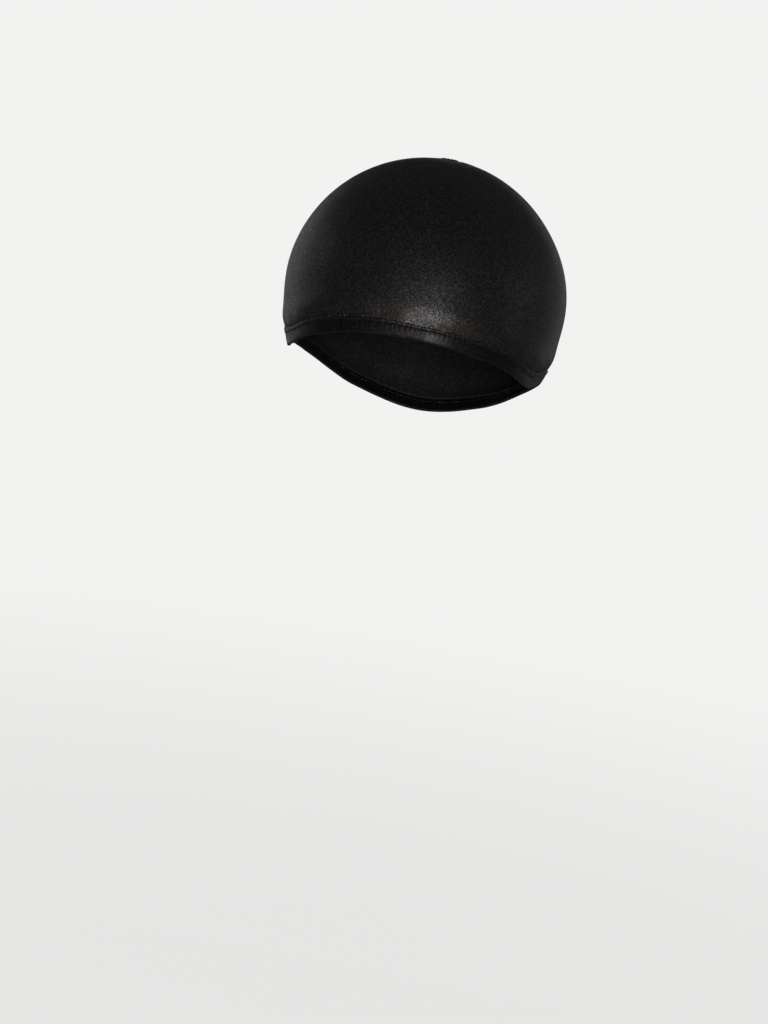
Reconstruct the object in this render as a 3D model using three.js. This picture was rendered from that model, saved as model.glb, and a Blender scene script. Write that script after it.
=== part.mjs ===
// A wave cap in the form that it has when worn: a close stretch-knit crown, a turned
// elastic hem, the seam welt above it and a small gathered closure at the top.
// Millimetres, +Z up, the forehead towards -Y. The origin is the underside of the
// crown's top, where a head bears. All shapes are set out from the level at which the
// crown is broadest.

import * as THREE from 'three';

const { lerp, degToRad, smoothstep } = THREE.MathUtils;

// Outside form of the crown, from the middle of its broadest level
const capBreadth = 158;         // across, over the ears
const frontReach = 108;         // forward to the forehead
const backReach = 92;           // back to the back of the head
const crownRise = 76;           // up to the top
const napeDrop = 68;            // down to the hem at the nape
const browDrop = 28;            // down to where the forehead reaches furthest forward
const occiputDrop = 14;         // down to where the back of the head reaches furthest back
const sideDepth = 89;           // down to where the sides would close if the hem didn't cut them short
const napeDepth = 88;           // from the back's furthest reach down to where the nape would

// How square the outlines are, where 2 is an ellipse
const foreheadSquareness = 2.4;
const sideSquareness = 1.93;
const backSquareness = 2.2;
const foreheadFullness = 2.2;   // seen from above, in front
const backFullness = 2.1;       // and behind

// Cloth
const crownWall = 1.2;
const bandHeight = 6.6;
const bandWall = 2.2;
const bandProud = 0.8;          // how far the elastic casing stands out from the knit
const seamHeight = 1.8;
const seamWall = 1.6;
const edgeRounding = 0.4;       // most that a round edge may take of a rolled edge's height
const seamProud = 0.7;
const pieceGap = 0.3;           // between one piece and the next

// The knit swells out above the elastic and is drawn in at the closure
const swellHeight = 17;
const swellDepth = 0.9;
const closureDiameter = 11;
const closureThickness = 1.4;
const closureSeat = 0.6;        // depth of the dimple that the closure lies in
const closureLobes = 12;
const closureScallop = 0.33;    // depth of the scallops round its edge
const gatherCount = 18;
const gatherDepth = 0.45;
const gatherReach = 34;         // how far from the closure the gathers run

// How finely the cloth is divided
const roundSteps = 72;
const domeSteps = 14;
const bandArcSteps = 4;
const seamArcSteps = 3;
const closureSteps = 36;

// The hem round the head, from the forehead at 0 degrees to the nape at 180.
// drop is its depth below the broadest level, as a share of napeDrop.
const hemLine = [
  { azimuth: 0, drop: 0.323 },
  { azimuth: 30, drop: 0.43 },
  { azimuth: 60, drop: 0.575 },
  { azimuth: 90, drop: 0.558 },
  { azimuth: 120, drop: 0.67 },
  { azimuth: 150, drop: 0.88 },
  { azimuth: 180, drop: 1 },
];

// The swell of the knit above the seam: up as a share of swellHeight, out as a share
// of swellDepth
const swellRows = [
  { up: 0, out: -0.5 },
  { up: 0.1, out: 0.15 },
  { up: 0.28, out: 0.8 },
  { up: 0.5, out: 1 },
  { up: 0.75, out: 0.5 },
  { up: 1, out: 0.12 },
];

// Rows of knit round the closure: their distance from its middle and their depth, as
// shares of the closure's radius and of closureSeat
const seatRows = [
  { away: 2.1, down: 0 },
  { away: 1.5, down: 0.25 },
  { away: 1.1, down: 0.9 },
  { away: 0.6, down: 1 },
];

// The closure's upper side, from its lower edge to its middle: radius and height as
// shares of its radius and thickness, lobe as a share of closureScallop
const closureRows = [
  { radius: 0.92, height: 0, lobe: 0.6 },
  { radius: 1, height: 0.3, lobe: 1 },
  { radius: 0.86, height: 0.72, lobe: 1 },
  { radius: 0.55, height: 0.95, lobe: 0.5 },
  { radius: 0.22, height: 0.8, lobe: 0 },
  { radius: 0, height: 0.72, lobe: 0 },
];

const seamFoot = bandHeight + pieceGap;
const crownFoot = seamFoot + seamHeight + pieceGap;

// Value of a table's column at an azimuth, by a smooth curve through its rows. The
// rows are evenly spaced from 0 to 180 degrees and are mirrored at both ends.
function readTable(table, column, azimuth) {
  const span = table.length - 1;
  const spacing = degToRad(table[1].azimuth);
  const place = Math.abs(Math.atan2(Math.sin(azimuth), Math.cos(azimuth))) / spacing;
  const index = Math.min(Math.floor(place), span - 1);
  const value = (row) => table[span - Math.abs(span - Math.abs(row))][column];
  const part = place - index;
  const before = value(index - 1);
  const start = value(index);
  const end = value(index + 1);
  const after = value(index + 2);
  const startSlope = (end - before) / 2;
  const endSlope = (after - start) / 2;
  const rise = end - start;
  const bend = 3 * rise - 2 * startSlope - endSlope;
  const twist = startSlope + endSlope - 2 * rise;
  return start + part * (startSlope + part * (bend + part * twist));
}

// Distance from the middle to the outside of the knit at the broadest level
function planReach(azimuth) {
  const forward = Math.cos(azimuth);
  const aside = Math.abs(Math.sin(azimuth));
  const length = lerp(backReach, frontReach, (1 + forward) / 2);
  const fullness = lerp(2, forward > 0 ? foreheadFullness : backFullness, Math.abs(forward));
  const sum = (aside / (capBreadth / 2)) ** fullness + (Math.abs(forward) / length) ** fullness;
  return sum ** (-1 / fullness);
}

function outlinePower(azimuth) {
  const forward = Math.cos(azimuth);
  const end = forward > 0 ? foreheadSquareness : backSquareness;
  return 2 / lerp(sideSquareness, end, forward * forward);
}

// Height at which the form reaches furthest out
function reachLevel(azimuth) {
  const forward = Math.cos(azimuth);
  const drop = forward > 0 ? browDrop : occiputDrop;
  return -drop * forward ** 4;
}

// Height of the form's upper part above that level, or depth of its lower part
function formDepth(azimuth, upper) {
  if (upper) return crownRise - reachLevel(azimuth);
  const backward = Math.max(0, -Math.cos(azimuth));
  return lerp(sideDepth, napeDepth, backward * backward);
}

// Point of the smooth form, whose latitude runs from the hem up to 90 degrees
function formPoint(azimuth, latitude) {
  const power = outlinePower(azimuth);
  const depth = formDepth(azimuth, latitude > 0) * Math.sign(latitude);
  const reach = planReach(azimuth) * Math.abs(Math.cos(latitude)) ** power;
  const height = reachLevel(azimuth) + depth * Math.abs(Math.sin(latitude)) ** power;
  return new THREE.Vector3(reach * Math.sin(azimuth), -reach * Math.cos(azimuth), height);
}

function formNormal(azimuth, latitude) {
  const probe = 0.004;
  const level = Math.min(latitude, Math.PI / 2 - 2 * probe);
  const round = formPoint(azimuth + probe, level).sub(formPoint(azimuth - probe, level));
  const up = formPoint(azimuth, level + probe).sub(formPoint(azimuth, level - probe));
  return round.cross(up).normalize();
}

function hemLatitude(azimuth) {
  const height = -readTable(hemLine, 'drop', azimuth) * napeDrop - reachLevel(azimuth);
  const share = Math.abs(height) / formDepth(azimuth, height > 0);
  return Math.sign(height) * Math.asin(share ** (1 / outlinePower(azimuth)));
}

// Latitude of the place that lies a distance above the hem, measured over the knit
function latitudeAbove(azimuth, distance) {
  const stride = 1;
  const probe = 0.003;
  const steps = Math.max(1, Math.ceil(distance / stride));
  let latitude = hemLatitude(azimuth);
  for (let step = 0; step < steps; step += 1) {
    const here = formPoint(azimuth, latitude);
    const ahead = formPoint(azimuth, latitude + probe);
    latitude += (distance / steps) * probe / here.distanceTo(ahead);
  }
  return latitude;
}

// Latitude of the place that lies a distance from the middle of the crown's top
function latitudeFromTop(azimuth, distance) {
  const share = distance / planReach(azimuth);
  return Math.acos(share ** (1 / outlinePower(azimuth)));
}

// Point that stands proud of the smooth form by a distance, or inside it if negative
function proudPoint(azimuth, latitude, proud) {
  return formPoint(azimuth, latitude).addScaledVector(formNormal(azimuth, latitude), proud);
}

function azimuths(steps) {
  return Array.from({ length: steps }, (unused, step) => (2 * Math.PI * step) / steps);
}

// Closed surface over rows of points. Each row runs once round; the first and last
// rows close on a point each, or on each other where there are none.
function loftGeometry(rows, firstPole, lastPole) {
  const around = rows[0].length;
  const points = rows.flat();
  const faces = [];
  const corner = (row, step) => (row % rows.length) * around + (step % around);
  const bands = firstPole ? rows.length - 1 : rows.length;
  for (let row = 0; row < bands; row += 1) {
    for (let step = 0; step < around; step += 1) {
      const here = corner(row, step);
      const beside = corner(row, step + 1);
      const above = corner(row + 1, step);
      const across = corner(row + 1, step + 1);
      faces.push(here, beside, across, here, across, above);
    }
  }
  if (firstPole) {
    const first = points.push(firstPole) - 1;
    const last = points.push(lastPole) - 1;
    for (let step = 0; step < around; step += 1) {
      faces.push(first, corner(0, step + 1), corner(0, step));
      faces.push(last, corner(rows.length - 1, step), corner(rows.length - 1, step + 1));
    }
  }
  const geometry = new THREE.BufferGeometry();
  geometry.setFromPoints(points);
  geometry.setIndex(faces);
  geometry.computeVertexNormals();
  return geometry;
}

// How far the knit is pushed out or drawn in between the gathers at the closure
function gatherRelief(azimuth, fromTop) {
  const start = smoothstep(fromTop, closureDiameter / 2, closureDiameter);
  const fade = 1 - smoothstep(fromTop, closureDiameter / 2, gatherReach);
  return gatherDepth * start * fade * fade * Math.cos(gatherCount * azimuth);
}

// Rows of the crown from its foot to the closure's seat. Each row gives a latitude and
// how far the knit stands out from the smooth form.
function crownPlaces(azimuth) {
  const places = swellRows.map(({ up, out }) => ({
    latitude: latitudeAbove(azimuth, crownFoot + up * swellHeight),
    proud: out * swellDepth,
  }));
  const closureRadius = closureDiameter / 2;
  const low = places.at(-1).latitude;
  const high = latitudeFromTop(azimuth, seatRows[0].away * closureRadius);
  for (let step = 1; step < domeSteps; step += 1) {
    places.push({ latitude: lerp(low, high, step / domeSteps), proud: 0 });
  }
  for (const { away, down } of seatRows) {
    places.push({
      latitude: latitudeFromTop(azimuth, away * closureRadius),
      proud: -down * closureSeat,
    });
  }
  for (const place of places) {
    const point = formPoint(azimuth, place.latitude);
    place.proud += gatherRelief(azimuth, Math.hypot(point.x, point.y));
  }
  return places;
}

// The crown is one shell: its inside from the top down to the foot, then its outside
// back up to the top
function crownGeometry() {
  const columns = azimuths(roundSteps).map((azimuth) => {
    return { azimuth, places: crownPlaces(azimuth) };
  });
  const row = (index, inward) => columns.map(({ azimuth, places }) => {
    const { latitude, proud } = places[index];
    return proudPoint(azimuth, latitude, proud - inward);
  });
  const indices = columns[0].places.map((unused, index) => index);
  const outside = indices.map((index) => row(index, 0));
  const inside = indices.map((index) => row(index, crownWall)).reverse();
  const topOutside = new THREE.Vector3(0, 0, crownRise - closureSeat);
  const topInside = new THREE.Vector3(0, 0, crownRise - closureSeat - crownWall);
  return loftGeometry([...inside, ...outside], topInside, topOutside);
}

// Rolled edge of cloth that runs round the cap: a section with two round ends, from
// its foot upwards along the knit, with its outer side proud of the knit
function rolledGeometry(foot, height, wall, proud, arcSteps) {
  const depth = wall / 2;
  const rounding = Math.min(depth, height * edgeRounding);
  const places = [];
  for (const [middle, turned] of [[foot + rounding, 0], [foot + height - rounding, Math.PI]]) {
    for (let step = 0; step <= arcSteps; step += 1) {
      const angle = turned + (Math.PI * step) / arcSteps;
      places.push({
        above: middle - rounding * Math.sin(angle),
        proud: proud - depth - depth * Math.cos(angle),
      });
    }
  }
  const rows = places.map((place) => azimuths(roundSteps).map((azimuth) => {
    const latitude = latitudeAbove(azimuth, place.above);
    return proudPoint(azimuth, latitude, place.proud);
  }));
  return loftGeometry(rows);
}

// The closure is a small scalloped button of gathered knit, flat below, that lies in
// the crown's dimple
function closureGeometry() {
  const floor = crownRise - closureSeat + pieceGap;
  const point = ({ radius, height, lobe }, azimuth) => {
    const scallop = lobe * closureScallop * Math.cos(closureLobes * azimuth);
    const reach = (radius * closureDiameter) / 2 + scallop;
    const level = floor + height * closureThickness;
    return new THREE.Vector3(reach * Math.sin(azimuth), -reach * Math.cos(azimuth), level);
  };
  const rows = closureRows.slice(0, -1).map((row) => {
    return azimuths(closureSteps).map((azimuth) => point(row, azimuth));
  });
  return loftGeometry(rows, new THREE.Vector3(0, 0, floor), point(closureRows.at(-1), 0));
}

const knit = new THREE.MeshStandardMaterial({ color: '#1c1b1d', roughness: 0.6, metalness: 0 });
const casing = new THREE.MeshStandardMaterial({ color: '#242325', roughness: 0.5, metalness: 0 });
const welt = new THREE.MeshStandardMaterial({ color: '#1a191b', roughness: 0.55, metalness: 0 });

function addPiece(group, name, geometry, material) {
  const mesh = new THREE.Mesh(geometry, material);
  mesh.name = name;
  group.add(mesh);
}

const cap = new THREE.Group();
cap.position.z = crownWall + closureSeat - crownRise;
addPiece(cap, 'crown', crownGeometry(), knit);
addPiece(
  cap,
  'hem_band',
  rolledGeometry(0, bandHeight, bandWall, bandProud, bandArcSteps),
  casing,
);
addPiece(
  cap,
  'hem_seam',
  rolledGeometry(seamFoot, seamHeight, seamWall, seamProud, seamArcSteps),
  welt,
);
addPiece(cap, 'crown_closure', closureGeometry(), welt);

const part = new THREE.Group();
part.add(cap);

export default part;
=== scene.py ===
import math

import bmesh
import bpy
import numpy as np
from mathutils import Matrix, Vector


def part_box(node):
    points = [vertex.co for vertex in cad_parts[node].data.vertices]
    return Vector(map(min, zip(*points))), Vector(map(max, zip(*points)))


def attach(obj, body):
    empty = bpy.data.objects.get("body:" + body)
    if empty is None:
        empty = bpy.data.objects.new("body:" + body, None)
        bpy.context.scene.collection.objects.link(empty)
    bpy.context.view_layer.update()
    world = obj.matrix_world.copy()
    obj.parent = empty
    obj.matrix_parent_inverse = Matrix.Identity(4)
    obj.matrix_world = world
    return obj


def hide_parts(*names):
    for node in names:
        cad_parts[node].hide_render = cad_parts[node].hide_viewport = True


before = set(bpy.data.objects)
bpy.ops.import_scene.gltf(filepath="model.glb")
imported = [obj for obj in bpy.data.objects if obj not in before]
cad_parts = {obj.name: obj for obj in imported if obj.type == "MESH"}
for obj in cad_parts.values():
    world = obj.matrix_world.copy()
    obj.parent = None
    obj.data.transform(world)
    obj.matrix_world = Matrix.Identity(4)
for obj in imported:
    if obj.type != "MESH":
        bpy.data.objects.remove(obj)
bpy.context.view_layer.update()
print("frame loaded:", ", ".join(sorted(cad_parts)))

scene = bpy.context.scene
halfTurn = math.pi
fullTurn = 2 * math.pi


# The camera stands where the photograph's did, from the cap's middle
cameraPlan = {
    "target": Vector((0, -0.012, -0.080)),
    "targetPixel": (422.5, 306.0),      # where the target falls in the picture
    "picture": (768, 1024),
    "focalPixels": 2327.6,
    "distance": 1.30,
    "azimuth": 5.1,
    "elevation": 0.58,
    "roll": 9.62,
    "sensor": 36,
}


def setUpCamera(plan):
    turn, lift, roll = (math.radians(plan[key]) for key in ("azimuth", "elevation", "roll"))
    away = Vector((math.sin(turn) * math.cos(lift), -math.cos(turn) * math.cos(lift), math.sin(lift)))
    level = Vector((math.cos(turn), math.sin(turn), 0))
    upright = away.cross(level)
    right = level * math.cos(roll) + upright * math.sin(roll)
    up = upright * math.cos(roll) - level * math.sin(roll)
    width, height = plan["picture"]
    pixel = plan["distance"] / plan["focalPixels"]
    aside = (plan["targetPixel"][0] - width / 2) * pixel
    above = (height / 2 - plan["targetPixel"][1]) * pixel
    place = plan["target"] + away * plan["distance"]
    back = (place - (plan["target"] - right * aside - up * above)).normalized()
    right = up.cross(back).normalized()
    up = back.cross(right)
    camera = bpy.data.objects.new("camera", bpy.data.cameras.new("camera"))
    camera.data.sensor_width = plan["sensor"]
    camera.data.lens = plan["sensor"] * plan["focalPixels"] / max(plan["picture"])
    turnMatrix = Matrix((right, up, back)).transposed().to_4x4()
    camera.matrix_world = Matrix.Translation(place) @ turnMatrix
    scene.collection.objects.link(camera)
    scene.camera = camera


setUpCamera(cameraPlan)
print("camera placed")


# The smooth form that the cloth follows, in metres, as the CAD has it. Heights are
# from the level where the crown is broadest.
crownLow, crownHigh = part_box("crown")
form = {
    "breadth": crownHigh.x - crownLow.x,
    "frontReach": 0.108,
    "backReach": 0.092,
    "crownRise": 0.076,
    "napeDrop": 0.068,
    "browDrop": 0.028,
    "occiputDrop": 0.014,
    "sideDepth": 0.089,
    "napeDepth": 0.088,
    "foreheadSquareness": 2.4,
    "sideSquareness": 1.93,
    "backSquareness": 2.2,
    "foreheadFullness": 2.2,
    "backFullness": 2.1,
    "hemDrops": (0.323, 0.43, 0.575, 0.558, 0.67, 0.88, 1.0),   # every 30 degrees, forehead to nape
    "topLevel": 0.0018,              # height of the crown's top in the frame
    # These two are wrinkles of one wearing, so only the looks have them
    "sags": ((-41, 11, 0.0024), (1, 10, 0.0007), (49, 16, 0.0016)),    # azimuth, width and depth
    "squeeze": (5, 11, 0.11),        # azimuth and width of a narrower place in the hem, and its share
    "squeezeReach": 0.009,
}


def mix(low, high, share):
    return low + (high - low) * share


def smoothShare(value, start, end):
    share = np.clip((value - start) / (end - start), 0, 1)
    return share * share * (3 - 2 * share)


def smoothTable(value, places, heights):     # smooth curve through a short table
    places, heights = np.asarray(places, float), np.asarray(heights, float)
    slopes = np.gradient(heights, places)
    row = np.clip(np.searchsorted(places, value, side="right") - 1, 0, len(places) - 2)
    span = places[row + 1] - places[row]
    part = np.clip((value - places[row]) / span, 0, 1)
    rise = heights[row + 1] - heights[row]
    first, last = slopes[row] * span, slopes[row + 1] * span
    bend = 3 * rise - 2 * first - last
    twist = first + last - 2 * rise
    return heights[row] + part * (first + part * (bend + part * twist))


def hemDepth(azimuth):
    drops = form["hemDrops"]
    step = np.radians(30)
    mirrored = (drops[1],) + drops + (drops[-2],)
    angles = step * np.arange(-1, len(drops) + 1)
    turned = np.arctan2(np.sin(azimuth), np.cos(azimuth))
    depth = smoothTable(np.abs(turned), angles, mirrored) * form["napeDrop"]
    for middle, width, sag in form["sags"]:
        depth = depth + sag * np.exp(-((np.degrees(turned) - middle) / width) ** 2)
    return depth


def planReach(azimuth):
    forward, aside = np.cos(azimuth), np.abs(np.sin(azimuth))
    length = mix(form["backReach"], form["frontReach"], (1 + forward) / 2)
    end = np.where(forward > 0, form["foreheadFullness"], form["backFullness"])
    fullness = mix(2, end, np.abs(forward))
    total = (2 * aside / form["breadth"]) ** fullness + (np.abs(forward) / length) ** fullness
    return total ** (-1 / fullness)


def outlinePower(azimuth):
    forward = np.cos(azimuth)
    end = np.where(forward > 0, form["foreheadSquareness"], form["backSquareness"])
    return 2 / mix(form["sideSquareness"], end, forward * forward)


def reachLevel(azimuth):
    forward = np.cos(azimuth)
    return -np.where(forward > 0, form["browDrop"], form["occiputDrop"]) * forward ** 4


def formDepth(azimuth, upper):
    backward = np.maximum(0, -np.cos(azimuth))
    lower = mix(form["sideDepth"], form["napeDepth"], backward * backward)
    return np.where(upper, form["crownRise"] - reachLevel(azimuth), lower)


def formPoint(azimuth, latitude):
    power = outlinePower(azimuth)
    depth = formDepth(azimuth, latitude > 0) * np.sign(latitude)
    reach = planReach(azimuth) * np.abs(np.cos(latitude)) ** power
    height = reachLevel(azimuth) + depth * np.abs(np.sin(latitude)) ** power
    height = height + form["topLevel"] - form["crownRise"]
    return np.stack([reach * np.sin(azimuth), -reach * np.cos(azimuth), height], -1)


def formNormal(azimuth, latitude):
    probe = 0.004
    level = np.minimum(latitude, halfTurn / 2 - 2 * probe)
    around = formPoint(azimuth + probe, level) - formPoint(azimuth - probe, level)
    upward = formPoint(azimuth, level + probe) - formPoint(azimuth, level - probe)
    normal = np.cross(around, upward)
    return normal / np.linalg.norm(normal, axis=-1, keepdims=True)


def hemLatitude(azimuth):
    height = -hemDepth(azimuth) - reachLevel(azimuth)
    share = np.abs(height) / formDepth(azimuth, height > 0)
    return np.sign(height) * np.arcsin(share ** (1 / outlinePower(azimuth)))


# Shares of the way up each meridian, by azimuth and by distance over the cloth from
# the hem. They are measured once and then looked up.
meridian = {
    "angleStep": math.radians(1),
    "lengthStep": 0.0005,
    "rows": 440,
}


def measureMeridians(plan):
    angles = np.arange(-180, 181) * plan["angleStep"]
    shares = np.linspace(0, 1, plan["rows"])
    latitudes = mix(hemLatitude(angles)[None], halfTurn / 2, shares[:, None])
    points = formPoint(np.broadcast_to(angles, latitudes.shape), latitudes)
    steps = np.linalg.norm(np.diff(points, axis=0), axis=-1)
    lengths = np.vstack([np.zeros(len(angles)), np.cumsum(steps, axis=0)])
    distances = np.arange(plan["rows"]) * plan["lengthStep"]
    table = [np.interp(distances, lengths[:, column], shares) for column in range(len(angles))]
    return lengths[-1], np.array(table)


meridianLengths, meridianShares = measureMeridians(meridian)


def meridianColumn(azimuth):
    place = (np.arctan2(np.sin(azimuth), np.cos(azimuth)) + halfTurn) / meridian["angleStep"]
    column = np.clip(np.floor(place).astype(int), 0, 359)
    return column, place - column


def meridianLength(azimuth):
    column, part = meridianColumn(azimuth)
    return mix(meridianLengths[column], meridianLengths[column + 1], part)


def latitudeAbove(azimuth, distance):
    column, part = meridianColumn(azimuth)
    place = distance / meridian["lengthStep"]
    row = np.clip(np.floor(place).astype(int), 0, meridian["rows"] - 2)
    rise = place - row
    before = mix(meridianShares[column, row], meridianShares[column, row + 1], rise)
    after = mix(meridianShares[column + 1, row], meridianShares[column + 1, row + 1], rise)
    return mix(hemLatitude(azimuth), halfTurn / 2, mix(before, after, part))


def squeezed(azimuth, distance):         # the hem lies narrower over the forehead
    middle, width, most = form["squeeze"]
    turned = np.degrees(np.arctan2(np.sin(azimuth), np.cos(azimuth)))
    reach = form["squeezeReach"]
    share = most * np.exp(-((turned - middle) / width) ** 2)
    fade = 1 - smoothShare(distance, reach, 6 * reach)
    return distance - share * np.minimum(distance, reach) * fade


def clothPoint(azimuth, distance, proud):
    latitude = latitudeAbove(azimuth, squeezed(azimuth, distance))
    return formPoint(azimuth, latitude) + formNormal(azimuth, latitude) * proud[..., None]


def ripples(azimuth, distance, plan):    # uneven waves round the cap, which drift up the cloth
    drift, fewest, most, count, seed = plan
    draw = np.random.default_rng(seed)
    total = np.zeros_like(azimuth)
    for _ in range(count):
        waves = draw.integers(fewest, most)
        phase, lean = draw.uniform(0, fullTurn), draw.normal(0, 1)
        total += np.cos(waves * azimuth + phase + lean * (distance * drift))
    return total / math.sqrt(count)


def sway(azimuth, waves):                # a few regular waves: share, how many round the cap, phase
    return sum(share * np.cos(count * azimuth + phase) for share, count, phase in waves)


def unevenness(points, plan):            # slow swell and dip over the cloth
    wavelength, count, seed = plan
    draw = np.random.default_rng(seed)
    total = np.zeros(len(points))
    for _ in range(count):
        direction = draw.normal(0, 1, 3)
        direction *= fullTurn / (wavelength * np.linalg.norm(direction)) * draw.uniform(0.6, 1.4)
        total += np.cos(points @ direction + draw.uniform(0, fullTurn))
    return total / math.sqrt(count)


def wrapGrid(columns, rows):
    # A flat grid from -1 to 1 each way, with its knit map, to be wrapped round the cap
    bm = bmesh.new()
    bm.loops.layers.uv.new("knit")
    bmesh.ops.create_grid(bm, x_segments=columns, y_segments=rows, size=1, calc_uvs=True)
    return bm


def readPlaces(bm):
    return np.array([vertex.co[:] for vertex in bm.verts])


def moveVertices(bm, points, **masks):
    for vertex, point in zip(bm.verts, points):
        vertex.co = point
    for name, values in masks.items():
        layer = bm.verts.layers.float.new(name)
        for vertex, value in zip(bm.verts, values):
            vertex[layer] = value


mergeDistance = 2e-6


def finishMesh(name, bm, smooth=True):
    bmesh.ops.remove_doubles(bm, verts=bm.verts, dist=mergeDistance)
    bmesh.ops.recalc_face_normals(bm, faces=bm.faces)
    mesh = bpy.data.meshes.new(name)
    bm.to_mesh(mesh)
    bm.free()
    mesh.polygons.foreach_set("use_smooth", [smooth] * len(mesh.polygons))
    piece = bpy.data.objects.new(name, mesh)
    scene.collection.objects.link(piece)
    return piece


def stretchKnitMap(piece, wales, courses, power=1.0):
    # One unit across the map is a wale of the knit, and one unit up is a course
    layer = piece.data.uv_layers["knit"]
    flat = np.empty(2 * len(layer.data))
    layer.data.foreach_get("uv", flat)
    places = flat.reshape(-1, 2)
    places[:, 0] *= wales
    places[:, 1] = places[:, 1] ** power * courses
    layer.data.foreach_set("uv", places.ravel())


# The hem's parts are stacked up the cloth with small gaps, as in the CAD
hem = {
    "bandHeight": 0.0066,
    "bandWall": 0.0022,
    "bandProud": 0.0008,
    "seamHeight": 0.0018,
    "seamWall": 0.0016,
    "gap": 0.0003,
    "tuck": 0.0004,                  # how far neighbours reach into each other here
    "stitchPitch": 0.0027,
}
hem["seamFoot"] = hem["bandHeight"] + hem["gap"]
hem["crownFoot"] = hem["seamFoot"] + hem["seamHeight"] + hem["gap"]


def hemLength(distance):
    azimuth = np.linspace(0, fullTurn, 2000)
    line = clothPoint(azimuth, np.full_like(azimuth, distance), np.zeros_like(azimuth))
    steps = np.linalg.norm(np.diff(line, axis=0), axis=-1)
    return azimuth, np.concatenate([[0], np.cumsum(steps)])


stitchAzimuths, stitchRun = hemLength(hem["bandHeight"])
stitchCount = round(stitchRun[-1] / hem["stitchPitch"])


def stitchPhase(azimuth):        # counts stitches round the hem
    run = np.interp(np.mod(azimuth, fullTurn), stitchAzimuths, stitchRun)
    return run / stitchRun[-1] * stitchCount


def templeShare(azimuth, middle, width):      # 1 at both temples, 0 at forehead and nape
    aside = np.degrees(np.abs(np.arctan2(np.sin(azimuth), np.cos(azimuth))))
    return np.exp(-((aside - middle) / width) ** 2)


print("form set out:", stitchCount, "stitches round the hem")


crownPlan = {
    "columns": 300,
    "rows": 150,
    "rowPower": 1.18,                # rows lie closer together near the seam
    "wall": 0.0012,
    "swellHeight": 0.017,
    "swellDepth": 0.0009,
    "swellUp": (0, 0.1, 0.28, 0.5, 0.75, 1, 1.4),
    "swellOut": (-0.5, 0.15, 0.8, 1, 0.5, 0.12, 0),
    "frontTaut": 0.75,               # the swell is pulled flat over the forehead
    "frontWidth": 20,
    "closureRadius": 0.0055,
    "closureSeat": 0.0006,
    "seatAway": (0, 0.6, 1.1, 1.5, 2.1),
    "seatDown": (1, 1, 0.9, 0.25, 0),
    "gathers": 18,
    "gatherDepth": 0.00045,
    "gatherReach": 0.034,
    "gatherSway": ((0.5, 3, 0.6), (0.4, 5, 0)),
    "gatherUnevenness": ((0.35, 7, 1),),
    # Small gathers that the seam draws into the knit. The waves are drift, fewest and
    # most round the cap, how many are summed, and a seed.
    "pucker": 0.00010,
    "puckerWaves": (180, 60, 190, 14, 5),
    "broadPucker": 0.00014,
    "broadWaves": (90, 14, 48, 8, 6),
    "puckerReach": 0.010,
    "unevenness": 0.00030,
    "unevenWaves": (0.075, 12, 11),  # length, how many are summed, and a seed
    "clearReach": 0.010,             # the knit is even close to the hem and the closure
    "stretchAt": 6,                  # where the knit is stretched thinnest, just above the hem
    "stretchWidth": 17,
    "stretchHeight": 0.009,
    "wales": 780,
    "courses": 300,
}


def crownRelief(plan, azimuth, distance, points):
    up = (distance - hem["crownFoot"]) / plan["swellHeight"]
    taut = 1 - plan["frontTaut"] * np.exp(-(np.degrees(azimuth) / plan["frontWidth"]) ** 2)
    proud = smoothTable(up, plan["swellUp"], plan["swellOut"]) * plan["swellDepth"] * taut
    fromTop = np.hypot(points[:, 0], points[:, 1])
    share = fromTop / plan["closureRadius"]
    proud -= smoothTable(share, plan["seatAway"], plan["seatDown"]) * plan["closureSeat"]
    start = smoothShare(fromTop, plan["closureRadius"], 2 * plan["closureRadius"])
    fade = 1 - smoothShare(fromTop, plan["closureRadius"], plan["gatherReach"])
    pleats = np.cos(plan["gathers"] * azimuth + sway(azimuth, plan["gatherSway"]) * fade)
    pleats *= 1 + sway(azimuth, plan["gatherUnevenness"])
    proud += plan["gatherDepth"] * start * fade * fade * pleats
    nearSeam = np.exp(-((distance - hem["crownFoot"]) / plan["puckerReach"]) ** 2)
    proud += plan["pucker"] * nearSeam * ripples(azimuth, distance, plan["puckerWaves"])
    proud += plan["broadPucker"] * nearSeam * ripples(azimuth, distance, plan["broadWaves"])
    clear = smoothShare(distance, hem["crownFoot"], hem["crownFoot"] + plan["clearReach"])
    clear *= smoothShare(fromTop, plan["closureRadius"], 4 * plan["closureRadius"])
    proud += plan["unevenness"] * clear * unevenness(points, plan["unevenWaves"])
    return proud


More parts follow.
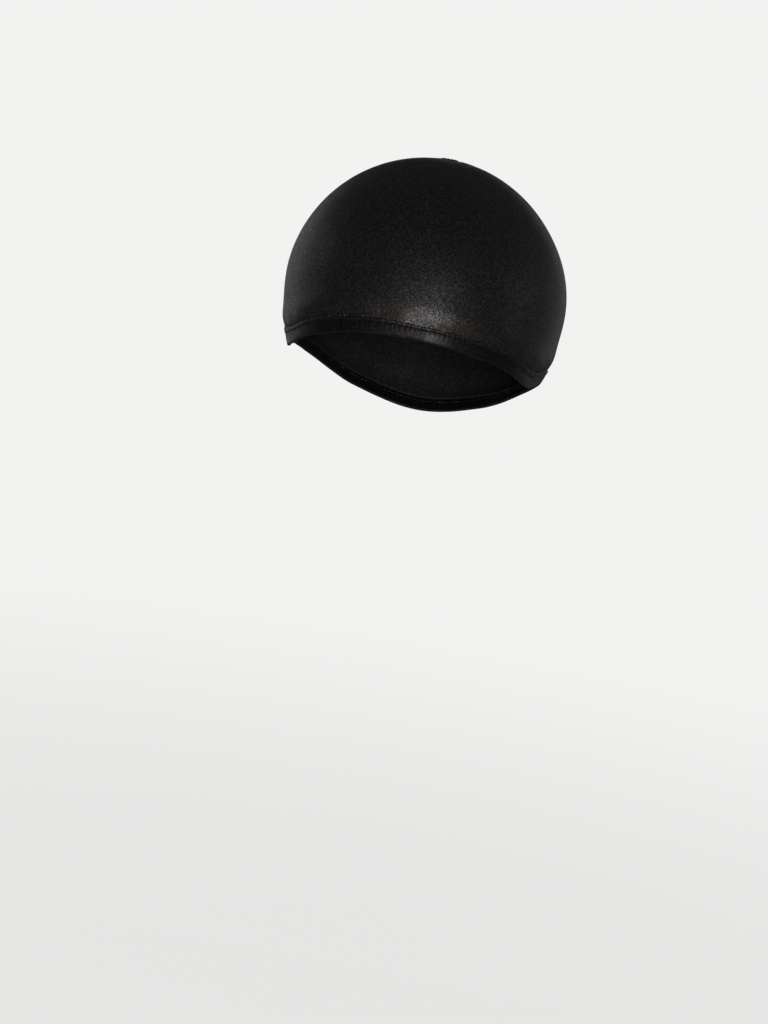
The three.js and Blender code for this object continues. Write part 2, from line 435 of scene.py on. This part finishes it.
def makeCrown(plan):
    bm = wrapGrid(plan["columns"], plan["rows"])
    places = readPlaces(bm)
    azimuth = places[:, 0] * halfTurn
    share = ((places[:, 1] + 1) / 2) ** plan["rowPower"]
    foot = hem["crownFoot"] - hem["gap"] - hem["tuck"]
    distance = mix(foot, meridianLength(azimuth), share)
    latitude = latitudeAbove(azimuth, squeezed(azimuth, distance))
    atTop = places[:, 1] > 1 - 1e-6      # the last row closes on one point
    latitude[atTop] = halfTurn / 2
    azimuth = np.where(atTop, 0, azimuth)
    points = formPoint(azimuth, latitude)
    proud = crownRelief(plan, azimuth, distance, points)
    points += formNormal(azimuth, latitude) * proud[:, None]
    front = np.exp(-((np.degrees(azimuth) - plan["stretchAt"]) / plan["stretchWidth"]) ** 2)
    low = np.exp(-(np.maximum(distance - hem["crownFoot"], 0) / plan["stretchHeight"]) ** 2)
    moveVertices(bm, points, stretch=front * low)
    piece = finishMesh("crown_knit", bm)
    stretchKnitMap(piece, plan["wales"], plan["courses"], plan["rowPower"])
    wall = piece.modifiers.new("wall", "SOLIDIFY")
    wall.thickness = plan["wall"]
    wall.offset = -1
    wall.use_even_offset = True
    wall.material_offset = 1
    wall.material_offset_rim = 1
    return piece


crown = makeCrown(crownPlan)
print("crown made:", len(crown.data.vertices), "points")


def roundedSection(angle, squareness):
    across = np.sign(np.cos(angle)) * np.abs(np.cos(angle)) ** squareness
    along = np.sign(np.sin(angle)) * np.abs(np.sin(angle)) ** squareness
    return across, along


bandPlan = {
    "section": 28,
    "steps": 1640,
    "squareness": 0.3,
    "outerFace": (-0.2, 0.6),        # where the outer face starts and is full, across the section
    "underSeam": 0.0006,             # the casing runs on under the welt, and as deep below it
    "underDepth": 0.0006,
    "underStart": 0.0002,
    "crease": (48, 17, 0.0005),      # where the temples' folds lie, sunk in and with painted shade along them: azimuth, width and height
    "creaseDepth": 0.0004,
    "groove": 0.00002,               # how far the stitches draw the casing in below the seam
    "grooveAt": 0.0062,
    "grooveWidth": 0.00034,
    "dimple": 0.00018,               # at each stitch hole
    "dimpleSharpness": 6,
    "holeDark": (0.35, 0.8),         # where a dimple's painted shade starts, and where it is darkest
    "join": (10.4, 4.4),             # azimuth and half width of the casing's overlap
    "joinStart": 0.5,                # it starts sharply and ends softly, in degrees
    "joinEnd": (-2.5, 1),
    "joinProud": 0.00012,
    "ripple": 0.000016,
    "rippleWaves": (260, 90, 230, 16, 21),
    "rippleFoot": 0.4,               # share of the ripple that reaches the lower edge
    "broadWaves": (60, 10, 40, 8, 22),
    "edgeWave": 0.00012,
    "edgeWaves": (0, 6, 30, 8, 23),
    "edgeReach": 0.003,
    "stretchWidth": 12,              # where the casing is stretched thinnest over the forehead
    "wales": 780,
    "courses": 28,
}


def makeBand(plan):
    bm = wrapGrid(plan["steps"], plan["section"])
    places = readPlaces(bm)
    azimuth, angle = places[:, 0] * halfTurn, (places[:, 1] + 1) * halfTurn
    across, along = roundedSection(angle, plan["squareness"])
    outer = smoothShare(across, *plan["outerFace"])
    height = hem["bandHeight"] + hem["gap"] / 2 + hem["tuck"] / 2 + plan["underSeam"]
    distance = height * (1 + along) / 2
    proud = hem["bandProud"] - hem["bandWall"] / 2 * (1 - across)
    under = smoothShare(distance, hem["bandHeight"] - plan["underStart"], height)
    proud -= outer * plan["underDepth"] * under
    foldAt, foldWidth, foldHeight = plan["crease"]
    fold = np.exp(-((distance - hem["bandHeight"]) / foldHeight) ** 2)
    fold *= templeShare(azimuth, foldAt, foldWidth)
    proud -= outer * fold * plan["creaseDepth"]
    nearStitch = np.exp(-((distance - plan["grooveAt"]) / plan["grooveWidth"]) ** 2)
    hole = np.sin(halfTurn * stitchPhase(azimuth)) ** plan["dimpleSharpness"]
    proud -= outer * nearStitch * (plan["groove"] + plan["dimple"] * hole)
    fine = ripples(azimuth, distance, plan["rippleWaves"])
    broad = ripples(azimuth, distance, plan["broadWaves"])
    puff = plan["rippleFoot"] + np.clip(distance / height, 0, 1)
    proud += outer * plan["ripple"] * (puff * fine + broad)
    low = 1 - smoothShare(distance, 0, plan["edgeReach"])
    wave = 1 + ripples(azimuth, distance, plan["edgeWaves"]) / 2
    distance = distance + low * plan["edgeWave"] * wave
    middle, half = plan["join"]
    aside = np.degrees(azimuth) - middle
    join = smoothShare(aside, -half, -half + plan["joinStart"])
    join *= 1 - smoothShare(aside, *(half + end for end in plan["joinEnd"]))
    proud += outer * join * plan["joinProud"]
    stretch = np.exp(-(np.degrees(azimuth) / plan["stretchWidth"]) ** 2) * (1 - join)
    # Painted shade: the stitch holes and the temples' folds are coloured near black, as if shade fell in
    # them
    dark = outer * np.maximum(smoothShare(nearStitch * hole, *plan["holeDark"]), fold)
    points = clothPoint(azimuth, distance, proud)
    moveVertices(bm, points, stretch=stretch, hole=dark, join=outer * join)
    piece = finishMesh("hem_casing", bm)
    stretchKnitMap(piece, plan["wales"], plan["courses"])
    return piece


seamPlan = {
    "section": 18,
    "steps": 1640,
    "squareness": 0.62,
    "proud": 0.0008,
    "lap": 0.0002,                   # how far the welt laps over the casing
    "bead": 0.00010,                 # the welt swells between one stitch and the next
    "ripple": 0.00005,
    "rippleWaves": (1, 40, 160, 12, 31),
    "templeWidening": 0.0016,        # the welt lies flatter and broader at the temples
    "templeLift": 0.12,              # share of the widening by which it stands out there
    "templeMiddle": 66,
    "templeWidth": 20,
    "wales": 780,
    "courses": 8,
}


def makeSeam(plan):
    bm = wrapGrid(plan["steps"], plan["section"])
    places = readPlaces(bm)
    azimuth, angle = places[:, 0] * halfTurn, (places[:, 1] + 1) * halfTurn
    across, along = roundedSection(angle, plan["squareness"])
    temple = templeShare(azimuth, plan["templeMiddle"], plan["templeWidth"])
    height = hem["seamHeight"] + plan["lap"] + plan["templeWidening"] * temple
    distance = hem["seamFoot"] - plan["lap"] + height * (1 + along) / 2
    swell = 1 + plan["bead"] / hem["seamWall"] * np.cos(fullTurn * stitchPhase(azimuth))
    proud = plan["proud"] - hem["seamWall"] / 2 * (1 - across * swell)
    upper = np.clip(along, 0, 1) * temple * np.clip(across, 0, 1)
    proud += plan["templeWidening"] * plan["templeLift"] * upper
    proud += plan["ripple"] * ripples(azimuth, along, plan["rippleWaves"])
    moveVertices(bm, clothPoint(azimuth, distance, proud))
    piece = finishMesh("seam_ridge", bm)
    stretchKnitMap(piece, plan["wales"], plan["courses"])
    return piece


band = makeBand(bandPlan)
seam = makeSeam(seamPlan)
print("hem made:", len(band.data.vertices) + len(seam.data.vertices), "points")


stitchPlan = {
    "length": 0.0019,
    "thickness": 0.00040,
    "outsideAt": 0.00875,
    "outsideProud": 0.00045,
    "insideAt": 0.0058,
    "insideProud": -0.00148,
    "lean": 0.10,
    "leanJitter": 0.03,
    "jitter": 0.00008,
}


def makeStitchRow(plan, at, proud, side, seed):
    draw = np.random.default_rng(seed)
    bm = bmesh.new()
    shape = Matrix.Diagonal((plan["thickness"] / 2, plan["length"] / 2, plan["thickness"] / 2, 1))
    bmesh.ops.create_uvsphere(bm, u_segments=8, v_segments=6, radius=1,
                              matrix=Matrix.Translation((1, 0, 0)) @ shape)
    spacing = fullTurn / stitchCount
    bmesh.ops.spin(bm, geom=bm.verts[:] + bm.edges[:] + bm.faces[:], cent=(0, 0, 0), axis=(0, 0, 1),
                   angle=fullTurn - spacing, steps=stitchCount - 1, use_duplicate=True)
    places = readPlaces(bm)
    index = np.round(np.arctan2(places[:, 1], places[:, 0]) / spacing).astype(int) % stitchCount
    turn = index * spacing
    outward = places[:, 0] * np.cos(turn) + places[:, 1] * np.sin(turn) - 1
    along = places[:, 1] * np.cos(turn) - places[:, 0] * np.sin(turn)
    centres = np.interp(index * stitchRun[-1] / stitchCount, stitchRun, stitchAzimuths)
    lean = side * plan["lean"] + draw.normal(0, plan["leanJitter"], stitchCount)[index]
    level = np.full(len(index), at) + draw.normal(0, plan["jitter"], stitchCount)[index]
    probe = np.full(len(index), 0.004)
    flat = np.full(len(index), proud)
    middle = clothPoint(centres, level, flat)
    tangent = clothPoint(centres + probe, level, flat) - clothPoint(centres - probe, level, flat)
    tangent /= np.linalg.norm(tangent, axis=-1, keepdims=True)
    normal = formNormal(centres, latitudeAbove(centres, level))
    upward = np.cross(normal, tangent)
    rise = places[:, 2] * np.cos(lean) + along * np.sin(lean)
    along = along * np.cos(lean) - places[:, 2] * np.sin(lean)
    points = middle + tangent * along[:, None] + upward * rise[:, None] + normal * outward[:, None]
    moveVertices(bm, points)
    return bm


def makeStitches(plan):
    bm = makeStitchRow(plan, plan["outsideAt"], plan["outsideProud"], 1, 41)
    inner = makeStitchRow(plan, plan["insideAt"], plan["insideProud"], -1, 42)
    inside = bpy.data.meshes.new("inner_row")
    inner.to_mesh(inside)
    inner.free()
    bm.from_mesh(inside)
    bpy.data.meshes.remove(inside)
    return finishMesh("hem_stitches", bm)


stitches = makeStitches(stitchPlan)
print("stitches made:", len(stitches.data.polygons), "faces")


closurePlan = {
    "radius": 0.0055,
    "thickness": 0.0020,
    "floor": 0.0009,                 # height of its underside, which is sewn down into the crown
    "columns": 144,
    "rows": 40,
    "lobes": 12,
    "lobeSway": ((0.7, 2, 0.4), (0.5, 5, 2)),
    "lobeUnevenness": ((0.3, 3, 0),),
    "scallop": 0.00033,
    "pleat": 0.00016,
    "pleatFrom": 0.55,               # pleats lie on the upper side alone
    "profileAt": (0, 0.35, 0.5, 0.6, 0.72, 0.85, 0.94, 1),
    "profileRadius": (0, 0.72, 0.93, 1.0, 0.86, 0.55, 0.24, 0),
    "profileHeight": (0.02, 0.0, 0.04, 0.3, 0.74, 0.97, 0.84, 0.72),
    "profileLobe": (0, 0.3, 0.7, 1, 1, 0.7, 0.25, 0),
    "wales": 90,
    "courses": 26,
}


def makeClosure(plan):
    bm = wrapGrid(plan["columns"], plan["rows"])
    places = readPlaces(bm)
    azimuth = places[:, 0] * halfTurn
    share = (places[:, 1] + 1) / 2
    at = plan["profileAt"]
    radius = smoothTable(share, at, plan["profileRadius"]) * plan["radius"]
    height = smoothTable(share, at, plan["profileHeight"]) * plan["thickness"]
    lobe = smoothTable(share, at, plan["profileLobe"])
    wave = np.cos(plan["lobes"] * azimuth + sway(azimuth, plan["lobeSway"]))
    scallop = plan["scallop"] * lobe * wave * (1 + sway(azimuth, plan["lobeUnevenness"]))
    radius = np.maximum(radius + scallop, 0)
    height += plan["pleat"] * lobe * wave * (share > plan["pleatFrom"])
    points = np.stack([radius * np.sin(azimuth), -radius * np.cos(azimuth), plan["floor"] + height], -1)
    moveVertices(bm, points)
    piece = finishMesh("closure_button", bm)
    stretchKnitMap(piece, plan["wales"], plan["courses"])
    return piece


threadPlan = {
    "count": 7,
    "spread": 0.2,                   # unevenness of their spacing, as a share of it
    "reach": 0.0030,
    "middle": 0.62,                  # share of the reach at which each one's middle lies
    "tilt": 4,
    "thickness": 0.00034,
    "knot": 0.00075,
    "knotShape": (1, 0.8, 0.55, 1),
    "knotSink": 0.0002,
    "level": 0.00275,
    "seed": 51,
}


def makeClosureThreads(plan):
    draw = np.random.default_rng(plan["seed"])
    bm = bmesh.new()
    shape = Matrix.Diagonal((plan["reach"] / 2, plan["thickness"] / 2, plan["thickness"] / 2, 1))
    tilt = Matrix.Rotation(math.radians(plan["tilt"]), 4, "Y")
    for index in range(plan["count"]):
        place = index + draw.uniform(-plan["spread"], plan["spread"])
        turn = fullTurn * place / plan["count"]
        middle = Vector((math.sin(turn), -math.cos(turn), 0)) * plan["reach"] * plan["middle"]
        moved = Matrix.Translation(middle + Vector((0, 0, plan["level"])))
        turned = Matrix.Rotation(turn - halfTurn / 2, 4, "Z")
        bmesh.ops.create_uvsphere(bm, u_segments=16, v_segments=10, radius=1,
                                  matrix=moved @ turned @ tilt @ shape)
    sunk = Matrix.Translation((0, 0, plan["level"] - plan["knotSink"]))
    bmesh.ops.create_uvsphere(bm, u_segments=20, v_segments=14, radius=plan["knot"],
                              matrix=sunk @ Matrix.Diagonal(plan["knotShape"]))
    return finishMesh("closure_threads", bm)


closure = makeClosure(closurePlan)
closureThreads = makeClosureThreads(threadPlan)
print("closure made")


# Shader sums are written as plain expressions on these
class Wire:
    def __init__(self, shader, socket):
        self.shader = shader
        self.socket = socket

    def sum(self, operation, *values):
        return self.shader.node("ShaderNodeMath", {"operation": operation}, *values)

    def __add__(self, other):
        return self.sum("ADD", self, other)

    def __radd__(self, other):
        return self.sum("ADD", other, self)

    def __sub__(self, other):
        return self.sum("SUBTRACT", self, other)

    def __rsub__(self, other):
        return self.sum("SUBTRACT", other, self)

    def __mul__(self, other):
        return self.sum("MULTIPLY", self, other)

    def __rmul__(self, other):
        return self.sum("MULTIPLY", other, self)


class Shader:
    def __init__(self, name):
        self.material = bpy.data.materials.new(name)
        self.material.use_nodes = True
        self.tree = self.material.node_tree
        self.surface = self.tree.nodes["Principled BSDF"]

    def node(self, kind, settings, *values, output=0, **named):
        made = self.tree.nodes.new(kind)
        for key, value in settings.items():
            setattr(made, key, value)
        sockets = dict(enumerate(values))
        sockets.update(named)
        for key, value in sockets.items():
            self.join(made.inputs[key], value)
        return Wire(self, made.outputs[output])

    def join(self, socket, value):
        if isinstance(value, Wire):
            self.tree.links.new(value.socket, socket)
        else:
            socket.default_value = value

    def set(self, **values):             # spaces in a socket's name are written as _
        for key, value in values.items():
            self.join(self.surface.inputs[key.replace("_", " ")], value)

    def colours(self, share, first, second):
        mixed = self.node("ShaderNodeMix", {"data_type": "RGBA"}, share, output=2)
        for socket, value in zip(mixed.socket.node.inputs[6:8], (first, second)):
            self.join(socket, value)
        return mixed

    def grain(self, place, size, detail):
        return self.node("ShaderNodeTexNoise", {}, Vector=place, Scale=1 / size, Detail=detail)

    def mask(self, name):
        return self.node("ShaderNodeAttribute", {"attribute_name": name}, output="Fac")

    def share(self, value, low, high):       # 0 at low and 1 at high
        return self.node("ShaderNodeMapRange", {}, value, low, high, 0.0, 1.0)

    def bump(self, height, distance, under=None):
        made = {"Height": height, "Distance": distance, "Strength": 1.0}
        if under is not None:
            made["Normal"] = under
        return self.node("ShaderNodeBump", {}, **made)


loopShape = {
    "slant": 0.9,                    # how far a loop's legs climb, as a share of a course
    "valley": 0.45,                  # height between one loop and the next
}


def knitHeight(shader, plan):
    # Two slanted legs to each wale, one pair for each course
    place = shader.node("ShaderNodeUVMap", {"uv_map": "knit"})
    across = shader.node("ShaderNodeSeparateXYZ", {}, place, output="X")
    upward = shader.node("ShaderNodeSeparateXYZ", {}, place, output="Y")
    inWale = across.sum("FRACT", across) - 0.5
    aside = inWale.sum("ABSOLUTE", inWale)
    leg = 1 - (aside * 4 - 1).sum("ABSOLUTE", aside * 4 - 1)
    course = (upward + aside * plan["slant"]) * fullTurn
    wave = course.sum("COSINE", course) * 0.5 + 0.5
    return leg * (wave * (1 - plan["valley"]) + plan["valley"])


def raised(value, floor, rise):
    return value * rise + floor


# Colours, sizes of the patterns and gloss that the fabrics share. A pair is the
# lowest value and how far it rises, or the edges that a pattern is cut between.
fabric = {
    "warm": (0.165, 0.074, 0.026, 1),    # where the knit is stretched thin
    "warmTone": (0.12, 0.5),
    # painted shade colour, for the stitch holes and the temples' folds
    "hole": (0.0008, 0.0008, 0.0008, 1),
    "strand": 0.00115,
    "strandEdges": (0.07, 0.0),
    "strandShare": 0.55,
    "spark": 0.00060,
    "sparkEdges": (0.53, 0.70),
    "sparkShare": 0.55,
    "ground": 0.04,
    "cloud": 0.016,
    "cloudTone": (0.6, 0.6),
    "cloudRough": 0.1,
    "specular": 0.06,
    "gloss": 0.39,
    "coat": (0.12, 1.15),
    "coatFacing": (0.2, 0.8),
    "joinGlint": 0.12,               # the casing's overlap is smoother than the rest of it
    "coatIor": 1.8,
    "sheen": 0.03,
    "sheenRoughness": 0.4,
    "sheenTint": (0.66, 0.66, 0.72, 1),
}
# glint is the gloss on the strands, knit and strand are depths of relief
knits = {
    "knit_outside": {
        "dark": (0.0038, 0.0038, 0.0043, 1), "light": (0.0360, 0.0367, 0.0430, 1),
        "rough": 0.60, "glint": 0.85, "warm": 0.8, "holeShadeAndJoin": False, "knit": 0.00012, "strand": 0.00034,
    },
    # The inside is more matte, and its tones sit well above the outside's: partly the knit's back, partly
    # painted light lifting the shade inside the cap
    "knit_inside": {
        "dark": (0.0130, 0.0130, 0.0138, 1), "light": (0.0700, 0.0700, 0.0740, 1),
        "rough": 0.80, "glint": 0.15, "warm": 0, "holeShadeAndJoin": False, "knit": 0.00014, "strand": 0.00016,
    },
    "knit_casing": {
        "dark": (0.0022, 0.0022, 0.0024, 1), "light": (0.0120, 0.0118, 0.0125, 1),
        "rough": 0.50, "glint": 0.30, "warm": 0.15, "holeShadeAndJoin": True, "knit": 0.00008, "strand": 0.00006,
    },
    "knit_welt": {
        "dark": (0.0030, 0.0030, 0.0033, 1), "light": (0.0150, 0.0150, 0.0160, 1),
        "rough": 0.55, "glint": 0.60, "warm": 0, "holeShadeAndJoin": False, "knit": 0.00008, "strand": 0.00006,
    },
}


def knitMaterial(name):
    look = knits[name]
    shader = Shader(name)
    place = shader.node("ShaderNodeTexCoord", {}, output="Object")
    wander = shader.grain(place, fabric["strand"], 1.0) - 0.5
    strands = shader.share(wander.sum("ABSOLUTE", wander), *fabric["strandEdges"])
    sparks = shader.share(shader.grain(place, fabric["spark"], 1.0), *fabric["sparkEdges"])
    cloud = shader.grain(place, fabric["cloud"], 3.0)
    mottle = strands * fabric["strandShare"] + sparks * fabric["sparkShare"] + fabric["ground"]
    tone = shader.colours(mottle * raised(cloud, *fabric["cloudTone"]), look["dark"], look["light"])
    if look["warm"]:
        warmth = shader.mask("stretch") * look["warm"] * raised(mottle, *fabric["warmTone"])
        tone = shader.colours(warmth, tone, fabric["warm"])
    facing = 1 - shader.node("ShaderNodeLayerWeight", {}, Blend=0.5, output="Facing")
    coat = raised(mottle, *fabric["coat"]) * raised(facing, *fabric["coatFacing"]) * look["glint"]
    if look["holeShadeAndJoin"]:
        # Painted shade in the stitch holes and the temples' folds; the gloss is also taken off there
        hole = shader.mask("hole")
        tone = shader.colours(hole, tone, fabric["hole"])
        coat = (coat + shader.mask("join") * fabric["joinGlint"]) * (1 - hole)
    fine = shader.bump(mottle, look["strand"])
    normal = shader.bump(knitHeight(shader, loopShape), look["knit"], fine)
    rough = look["rough"] + (cloud - 0.5) * fabric["cloudRough"]
    shader.set(Base_Color=tone, Roughness=rough, Normal=normal,
               Coat_Weight=coat, Coat_Roughness=fabric["gloss"], Coat_IOR=fabric["coatIor"],
               Specular_IOR_Level=fabric["specular"], Sheen_Weight=fabric["sheen"],
               Sheen_Roughness=fabric["sheenRoughness"], Sheen_Tint=fabric["sheenTint"])
    return shader.material


threadLook = {
    "dark": (0.004, 0.004, 0.004, 1),
    "light": (0.016, 0.016, 0.018, 1),
    "worn": (0.13, 0.13, 0.14, 1),   # painted highlight: a stitch here and there is coloured pale as a glint
    "wornSize": 0.0030,
    "wornEdges": (0.56, 0.64),
    "twist": 0.0004,
    "relief": 0.00008,
    "rough": (0.38, 0.1),
    "specular": 0.5,
}


def threadMaterial(look):
    shader = Shader("thread")
    place = shader.node("ShaderNodeTexCoord", {}, output="Object")
    twist = shader.grain(place, look["twist"], 1.0)
    tone = shader.colours(twist, look["dark"], look["light"])
    # Painted highlight: pale patches on the thread stand in for glints on a few stitches
    worn = shader.share(shader.grain(place, look["wornSize"], 0.0), *look["wornEdges"])
    tone = shader.colours(worn, tone, look["worn"])
    shader.set(Base_Color=tone, Roughness=raised(twist, *look["rough"]),
               Normal=shader.bump(twist, look["relief"]), Specular_IOR_Level=look["specular"])
    return shader.material


outside = knitMaterial("knit_outside")
inside = knitMaterial("knit_inside")
casingKnit = knitMaterial("knit_casing")
weltKnit = knitMaterial("knit_welt")
thread = threadMaterial(threadLook)
crown.data.materials.append(outside)
crown.data.materials.append(inside)
band.data.materials.append(casingKnit)
seam.data.materials.append(weltKnit)
closure.data.materials.append(weltKnit)
stitches.data.materials.append(thread)
closureThreads.data.materials.append(thread)
print("materials made")


dressed = (
    (crown, "crown", "crown_knit"),
    (band, "hem_band", "hem_casing"),
    (seam, "hem_seam", "seam_welt"),
    (closure, "crown_closure", "closure_knit"),
    (stitches, None, "seam_welt"),
    (closureThreads, None, "closure_knit"),
)
for piece, node, slot in dressed:
    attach(piece, "root")
    if node:
        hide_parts(node)


studio = {
    "floorLevel": -0.46,
    "floorRadius": 14.0,
    "glow": 0.8,                     # share of the floor's look that is the backdrop's, near the cap
    "glowReach": 1.6,                # from here on it's all the backdrop's
    "pale": (0.86, 0.86, 0.85, 1),
    "rough": 0.9,
    "specular": 0.1,
    "backdrop": (0.888, 0.888, 0.880, 1),
    "ambient": 0.085,
}
lights = (
    # name, azimuth, elevation, distance, width, height, watts
    ("front_box", 12.5, 4.0, 1.9, 0.7, 0.42, 11.7),
    ("low_fill", 16, -6, 1.6, 1.5, 0.6, 1.7),
    ("floor_glow", 0, -72, 0.36, 0.5, 0.5, 0.5),
    ("left_strip", -144, 3, 1.6, 1.0, 0.8, 3.1),
    ("right_strip", 156, 2, 1.7, 0.7, 0.7, 1.0),
    ("left_side", -106, 14, 1.8, 0.7, 0.7, 0.7),
    ("right_side", 106, 14, 1.8, 0.7, 0.7, 0.7),
    ("back_box", 178, 8, 1.9, 0.9, 0.7, 2.2),
)


def makeStage(plan):
    bm = bmesh.new()
    bmesh.ops.create_circle(bm, segments=128, radius=plan["floorRadius"], cap_ends=True,
                            matrix=Matrix.Translation((0, 0, plan["floorLevel"])))
    floor = finishMesh("floor", bm, smooth=False)
    shader = Shader("pale_floor")
    place = shader.node("ShaderNodeTexCoord", {}, output="Object")
    reach = shader.node("ShaderNodeVectorMath", {"operation": "LENGTH"}, place, output="Value")
    fade = {"interpolation_type": "SMOOTHSTEP"}
    far = shader.node("ShaderNodeMapRange", fade, reach, 0.0, plan["glowReach"], plan["glow"], 1.0)
    glow = shader.node("ShaderNodeEmission", {}, Color=plan["backdrop"], Strength=1.0)
    shader.set(Base_Color=plan["pale"], Roughness=plan["rough"], Specular_IOR_Level=plan["specular"])
    ground = Wire(shader, shader.surface.outputs[0])
    both = shader.node("ShaderNodeMixShader", {}, far, ground, glow)
    shader.tree.links.new(both.socket, shader.tree.nodes["Material Output"].inputs[0])
    floor.data.materials.append(shader.material)
    floor.visible_diffuse = False
    floor.visible_glossy = False


def makeWorld(plan):
    world = bpy.data.worlds.new("studio")
    world.use_nodes = True
    tree = world.node_tree
    tree.nodes.clear()
    seen = tree.nodes.new("ShaderNodeBackground")
    seen.inputs[0].default_value = plan["backdrop"]
    soft = tree.nodes.new("ShaderNodeBackground")
    soft.inputs[1].default_value = plan["ambient"]
    soft.inputs[0].default_value = (1, 1, 1, 1)
    rays = tree.nodes.new("ShaderNodeLightPath")
    both = tree.nodes.new("ShaderNodeMixShader")
    end = tree.nodes.new("ShaderNodeOutputWorld")
    tree.links.new(rays.outputs["Is Camera Ray"], both.inputs[0])
    tree.links.new(soft.outputs[0], both.inputs[1])
    tree.links.new(seen.outputs[0], both.inputs[2])
    tree.links.new(both.outputs[0], end.inputs[0])
    scene.world = world


def makeLights(rows):
    middle = cameraPlan["target"]
    for name, azimuth, elevation, distance, width, height, watts in rows:
        turn, lift = math.radians(azimuth), math.radians(elevation)
        away = Vector((math.sin(turn) * math.cos(lift), -math.cos(turn) * math.cos(lift), math.sin(lift)))
        lamp = bpy.data.lights.new(name, "AREA")
        lamp.shape = "RECTANGLE"
        lamp.size, lamp.size_y = width, height
        lamp.energy = watts
        holder = bpy.data.objects.new(name, lamp)
        holder.location = middle + away * distance
        holder.rotation_euler = away.to_track_quat("Z", "Y").to_euler()
        holder.visible_camera = False
        scene.collection.objects.link(holder)


makeStage(studio)
makeWorld(studio)
makeLights(lights)
scene.view_settings.view_transform = "Standard"
print("studio lit")
